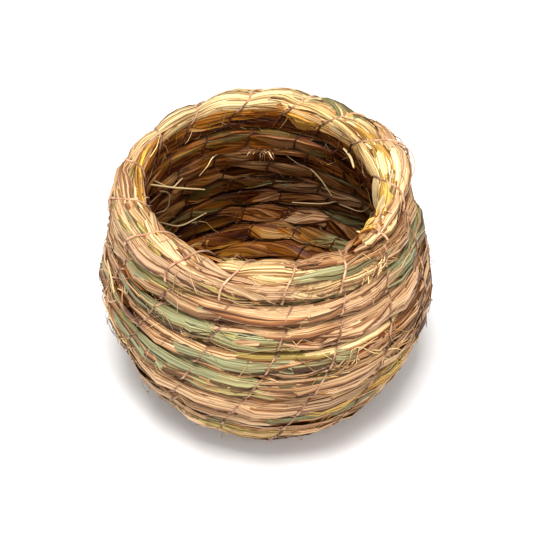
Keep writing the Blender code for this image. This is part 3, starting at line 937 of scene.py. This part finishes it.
def linear(colour_hex):
    """An sRGB hex colour as linear red, green, blue and alpha."""
    channels = [int(colour_hex[i:i + 2], 16) / 255.0 for i in (0, 2, 4)]
    return tuple(c / 12.92 if c <= 0.04045 else ((c + 0.055) / 1.055) ** 2.4 for c in channels) + (1.0,)


def node(tree, kind, settings=None, links=None):
    """Adds a node with its settings (properties, inputs or a ramp's stops) and its links."""
    made = tree.nodes.new(kind)
    for key, value in (settings or {}).items():
        if key == "stops":
            stops = made.color_ramp.elements
            while len(stops) < len(value):
                stops.new(0.5)
            for stop, (position, colour) in zip(stops, value):
                stop.position = position
                stop.color = colour
        elif isinstance(key, str) and hasattr(made, key):
            setattr(made, key, value)
        else:
            made.inputs[key].default_value = value
    for key, source in (links or {}).items():
        tree.links.new(source, made.inputs[key])
    return made


def new_material(name):
    """A material with one shader joined to its output."""
    made = bpy.data.materials.new(name)
    made.use_nodes = True
    tree = made.node_tree
    tree.nodes.clear()
    shader = node(tree, "ShaderNodeBsdfPrincipled")
    node(tree, "ShaderNodeOutputMaterial", links={"Surface": shader.outputs["BSDF"]})
    return made, tree, shader


def grey(value):
    """A grey of a given linear brightness; over 1 it lightens what it is multiplied with."""
    return (value, value, value, 1.0)


def dried_grass(settings):
    """Sedge leaf, cut green and dried in air, so that it has split along its veins.

    Its colour runs from brown and straw to sage, with fine parallel veins along it. Painted shade
    darkens the bottoms of its creases and the lower edge of each blade, and a painted highlight
    lightens its upper edge. Painted shade also makes it darker and more golden deep in the bundle and
    on the inside of the nest. The dry skin is dull, with a faint sheen on its ridges.
    """
    material, tree, shader = new_material("dried_sedge_leaf")
    uv = node(tree, "ShaderNodeUVMap", {"uv_map": "blade"}).outputs["UV"]
    tone, shade, depth, edge = (
        node(tree, "ShaderNodeAttribute", {"attribute_name": name}).outputs["Fac"]
        for name in ("tone", "shade", "depth", "edge"))
    streaks = {}
    for name, (across_mm, along_mm, detail) in GRASS_STREAKS.items():
        drawn_out = node(tree, "ShaderNodeMapping", {"Scale": (1.0 / across_mm, 1.0 / along_mm, 1.0)},
                         {"Vector": uv})
        noise = node(tree, "ShaderNodeTexNoise", {"Scale": 1.0, "Detail": detail},
                     {"Vector": drawn_out.outputs[0]})
        streaks[name] = noise.outputs["Fac"]
    drift = node(tree, "ShaderNodeMath", {"operation": "MULTIPLY_ADD", 1: 0.08, 2: -0.04},
                 {0: streaks["patches"]})
    tone = node(tree, "ShaderNodeMath", {"operation": "ADD"}, {0: tone, 1: drift.outputs[0]})
    stops = [(at, linear(getattr(settings, name))) for name, at in GRASS_TONES]
    colour = node(tree, "ShaderNodeValToRGB", {"stops": stops}, {"Fac": tone.outputs[0]}).outputs["Color"]
    # what darkens or lightens the colour: where it is read from, how strong it is, and its stops
    shadings = (
        (streaks["veins"], 0.9, ((0.36, linear("8E6846")), (0.46, linear("D8C4AA")), (0.55, grey(1.0)),
                                 (0.66, grey(1.25)))),
        # painted shade: the bottoms of the creases, where the bump dips, are darkened
        (streaks["creases"], 0.9, ((0.32, linear("5C3E26")), (0.38, linear("C8AC88")), (0.44, grey(1.0)))),
        # painted shade: darker and more golden deep in the bundle and on the inside of the nest
        (depth, 1.0, ((0.2, grey(1.0)), (0.6, linear("CE9C46")), (1.0, linear("845210")))),
        # painted shade on each blade's lower edge and a painted highlight on its upper edge
        (edge, 0.9, ((0.02, linear("6A4022")), (0.14, linear("BE9468")), (0.24, grey(1.0)),
                     (0.86, grey(1.0)), (0.97, grey(1.15)))),
    )
    for source, strength, stops in shadings:
        ramp = node(tree, "ShaderNodeValToRGB", {"stops": stops}, {"Fac": source})
        mixed = node(tree, "ShaderNodeMix", {"data_type": "RGBA", "blend_type": "MULTIPLY", 0: strength},
                     {6: colour, 7: ramp.outputs["Color"]})
        colour = mixed.outputs[2]
    # each blade's own random brightness, with the painted shade and light of the inside, the filling and the
    # slivers
    bright = node(tree, "ShaderNodeCombineColor", links={"Red": shade, "Green": shade, "Blue": shade})
    shaded = node(tree, "ShaderNodeMix", {"data_type": "RGBA", "blend_type": "MULTIPLY", 0: 1.0},
                  {6: colour, 7: bright.outputs[0]})
    tree.links.new(shaded.outputs[2], shader.inputs["Base Color"])
    shader.inputs["Roughness"].default_value = 0.5
    shader.inputs["Specular IOR Level"].default_value = 0.25
    relief = node(tree, "ShaderNodeMath", {"operation": "MULTIPLY_ADD", 1: 0.9},
                  {0: streaks["creases"], 2: streaks["veins"]})
    bump = node(tree, "ShaderNodeBump", {"Strength": 1.0, "Distance": 0.36 * MM},
                {"Height": relief.outputs[0]})
    tree.links.new(bump.outputs[0], shader.inputs["Normal"])
    return material


def tarnished_wire(settings):
    """Soft drawn copper wire, tarnished brown: the tarnish hides most of the metal's shine.

    It is darker in patches about 3 mm long. Painted shade makes it browner and darker where it is
    inside the nest, and a painted highlight makes it lighter on top of the rim.
    """
    material, tree, shader = new_material("tarnished_copper_wire")
    spot = node(tree, "ShaderNodeTexCoord").outputs["Object"]
    patches = node(tree, "ShaderNodeTexNoise", {"Scale": 1.0 / (3.0 * MM), "Detail": 3.0},
                   {"Vector": spot}).outputs["Fac"]
    stops = ((0.35, linear(settings.wire_dark)), (0.62, linear(settings.wire_light)))
    colour = node(tree, "ShaderNodeValToRGB", {"stops": stops}, {"Fac": patches})
    # painted shade and highlight: the wire inside the nest is darkened to brown, and on top of the rim
    # lightened
    shade = node(tree, "ShaderNodeAttribute", {"attribute_name": "shade"}).outputs["Fac"]
    stops = ((0.3, linear("8E6242")), (0.7, grey(1.0)), (1.0, grey(1.6)))
    shading = node(tree, "ShaderNodeValToRGB", {"stops": stops}, {"Fac": shade})
    painted_wire_shading = node(tree, "ShaderNodeMix", {"data_type": "RGBA", "blend_type": "MULTIPLY", 0: 1.0},
                  {6: colour.outputs["Color"], 7: shading.outputs["Color"]})
    tree.links.new(painted_wire_shading.outputs[2], shader.inputs["Base Color"])
    shader.inputs["Metallic"].default_value = 0.15
    shader.inputs["Roughness"].default_value = 0.5
    bump = node(tree, "ShaderNodeBump", {"Strength": 0.2, "Distance": 0.05 * MM}, {"Height": patches})
    tree.links.new(bump.outputs[0], shader.inputs["Normal"])
    return material


def once(name, maker):
    """A material made the first time it is asked for."""
    return bpy.data.materials.get(name) or maker(bpy.context.scene.coiled_nest)


# ------------------------------------------------------------------ settings and operators


class NestSettings(PropertyGroup):
    """Sizes and numbers of blades, the wire, and every colour"""
    blade_width: FloatProperty(name="Blade width", description="Widest leaf blades", default=4.6 * MM,
                               unit="LENGTH")
    wide_blades: IntProperty(name="Wide blades", description="In each course", default=95, min=10)
    narrow_blades: IntProperty(name="Narrow blades", description="In each course", default=120, min=0)
    wire_thickness: FloatProperty(name="Wire thickness", description="Of the binding wire",
                                  default=0.76 * MM, unit="LENGTH")
    # brown is also the colour of painted shade: the dark filling inside each bundle and the dark slivers
    # between blades
    brown: StringProperty(name="Brown", description="Colour of old blades, sRGB hex", default="7A4A28")
    russet: StringProperty(name="Russet", description="Colour of weathered blades", default="A8704A")
    tan: StringProperty(name="Tan", description="Colour of many blades", default="C09A6E")
    salmon: StringProperty(name="Salmon", description="Colour of pinkish blades", default="D4AE86")
    straw: StringProperty(name="Straw", description="Colour of straw", default="DEC08A")
    pale: StringProperty(name="Pale straw", description="Colour of the lightest blades", default="EBD6A0")
    gold: StringProperty(name="Gold", description="Colour of golden blades", default="DCA640")
    olive: StringProperty(name="Olive", description="Colour of yellow-green blades", default="C8B464")
    sage: StringProperty(name="Sage", description="Colour of grey-green blades", default="A4A47A")
    green: StringProperty(name="Green", description="Colour of the greenest blades", default="82885C")
    wire_dark: StringProperty(name="Wire, dark", description="Tarnish on the wire", default="704A32")
    wire_light: StringProperty(name="Wire, light", description="Worn places on the wire", default="C29674")


class NEST_OT_courses(Operator):
    """Bundles of leaf blades, one for each turn of the rope"""
    bl_idname = "nest.courses"
    bl_label = "Grass courses"

    def execute(self, context):
        settings = context.scene.coiled_nest
        material = once("dried_sedge_leaf", dried_grass)
        for index, name in enumerate(COURSES):
            draw = np.random.default_rng(100 + index)
            start_depth, thin_depth, wall_depth = FILLING_DEPTHS
            if index == 0:
                batches = [rope_filling((INNERMOST_TURN, FIRST_COURSE_TURNS), start_depth)]
            else:
                floor_or_rim = index < 4 or index > 10
                batches = [rope_filling(course_turns(index), thin_depth if floor_or_rim else wall_depth)]
            batches += strewn_blades(draw, index, settings)
            batches += chosen_blades(draw, index + 1)
            piece = make_mesh(name.replace("course", "blades"), batches, material, math.radians(32.0))
            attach(piece, "root")
            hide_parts(name)
        return {"FINISHED"}


class NEST_OT_fibres(Operator):
    """Frayed fibres, cut stubs, seed heads and stray straws"""
    bl_idname = "nest.fibres"
    bl_label = "Loose fibres"

    def execute(self, context):
        draw = np.random.default_rng(900)
        material = once("dried_sedge_leaf", dried_grass)
        wall = (5.0, TURNS - 0.03)
        rim = (RIM_FROM, TURNS - 0.02)
        outside = (math.radians(-80.0), math.radians(110.0))
        inside = (math.radians(110.0), math.radians(250.0))
        frayed = [
            hairs(draw, 700, wall, (6 * MM, 22 * MM), (0.08 * MM, 0.16 * MM), (0.5 * MM, 2.6 * MM), outside),
            hairs(draw, 260, (0.5, 13.0), (8 * MM, 30 * MM), (0.1 * MM, 0.2 * MM), (0.5 * MM, 4.0 * MM),
                  inside, stray=1.6),
            hairs(draw, 200, wall, (4 * MM, 12 * MM), (0.18 * MM, 0.35 * MM), (0.6 * MM, 2.2 * MM), outside,
                  stray=0.8, rings=4),
            hairs(draw, 160, rim, (5 * MM, 16 * MM), (0.08 * MM, 0.2 * MM), (0.5 * MM, 2.4 * MM)),
        ]
        piece = make_mesh("frayed_fibres", frayed, material, math.radians(80.0))
        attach(piece, "root")
        straws = [free_strand(*row) for row in STRAY_STRAWS]
        piece = make_mesh("stray_straws", straws + tufts(draw), material, math.radians(80.0))
        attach(piece, "root")
        return {"FINISHED"}


class NEST_OT_wire(Operator):
    """The wire, wrapped round the rope and drawn tight between its turns"""
    bl_idname = "nest.wire"
    bl_label = "Binding wire"

    def execute(self, context):
        radius = 0.5 * context.scene.coiled_nest.wire_thickness
        material = once("tarnished_copper_wire", tarnished_wire)
        piece = make_mesh("wire_wraps", [wall_wire(radius)], material, math.radians(60.0))
        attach(piece, "root")
        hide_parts(WIRE_NODE)
        piece = make_mesh("wire_floor_wraps", [floor_wire(radius)], material, math.radians(60.0))
        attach(piece, "root")
        return {"FINISHED"}


class NEST_OT_stage(Operator):
    """Camera, floor and soft studio light"""
    bl_idname = "nest.stage"
    bl_label = "Stage"

    def execute(self, context):
        scene = context.scene
        reach = FLOOR_REACH
        corners = [(-reach, -reach, 0), (reach, -reach, 0), (reach, reach, 0), (-reach, reach, 0)]
        floor_mesh = bpy.data.meshes.new("floor")
        floor_mesh.from_pydata(corners, [], [(0, 1, 2, 3)])
        material, _tree, shader = new_material("white_sweep")
        shader.inputs["Base Color"].default_value = grey(0.9)
        shader.inputs["Roughness"].default_value = 0.9
        floor_mesh.materials.append(material)
        floor = bpy.data.objects.new("floor", floor_mesh)
        scene.collection.objects.link(floor)
        camera_data = bpy.data.cameras.new("camera")
        camera_data.sensor_width = SENSOR_WIDTH
        camera_data.lens = FOCAL_LENGTH
        camera_data.shift_x = SIDE_SHIFT
        camera_data.clip_start = 0.05
        camera = bpy.data.objects.new("camera", camera_data)
        from_target = np.array((0.0, -math.cos(CAMERA_ELEVATION), math.sin(CAMERA_ELEVATION)))
        camera.location = CAMERA_TARGET + CAMERA_DISTANCE * from_target
        camera.rotation_euler = (math.pi / 2.0 - CAMERA_ELEVATION, 0.0, 0.0)
        scene.collection.objects.link(camera)
        scene.camera = camera
        world = bpy.data.worlds.new("soft_room")
        world.use_nodes = True
        world.node_tree.nodes["Background"].inputs["Color"].default_value = grey(1.0)
        world.node_tree.nodes["Background"].inputs["Strength"].default_value = ROOM_LIGHT
        scene.world = world
        scene.view_settings.view_transform = "Standard"
        for name, position, size, power in LAMPS:
            data = bpy.data.lights.new(name, "AREA")
            data.size = size
            data.energy = power
            lamp = bpy.data.objects.new(name, data)
            lamp.location = position
            direction = CAMERA_TARGET - np.array(position)
            lamp.rotation_euler = (math.atan2(math.hypot(direction[0], direction[1]), -direction[2]), 0.0,
                                   math.atan2(-direction[0], direction[1]))
            scene.collection.objects.link(lamp)
        return {"FINISHED"}


class NEST_PT_panel(Panel):
    """The nest's settings and its pieces"""
    bl_label = "Coiled grass nest"
    bl_space_type = "VIEW_3D"
    bl_region_type = "UI"
    bl_category = "Nest"

    def draw(self, context):
        for name in NestSettings.__annotations__:
            self.layout.prop(context.scene.coiled_nest, name)
        for operator in OPERATORS:
            self.layout.operator(operator.bl_idname)


OPERATORS = (NEST_OT_stage, NEST_OT_courses, NEST_OT_fibres, NEST_OT_wire)
CLASSES = (NestSettings, *OPERATORS, NEST_PT_panel)


def register():
    for cls in CLASSES:
        bpy.utils.register_class(cls)
    bpy.types.Scene.coiled_nest = PointerProperty(type=NestSettings)


def unregister():
    del bpy.types.Scene.coiled_nest
    for cls in reversed(CLASSES):
        bpy.utils.unregister_class(cls)


def main():
    """Builds the stage and every piece."""
    register()
    bpy.ops.nest.stage()
    bpy.ops.nest.courses()
    bpy.ops.nest.fibres()
    bpy.ops.nest.wire()


if __name__ == "__main__":
    main()
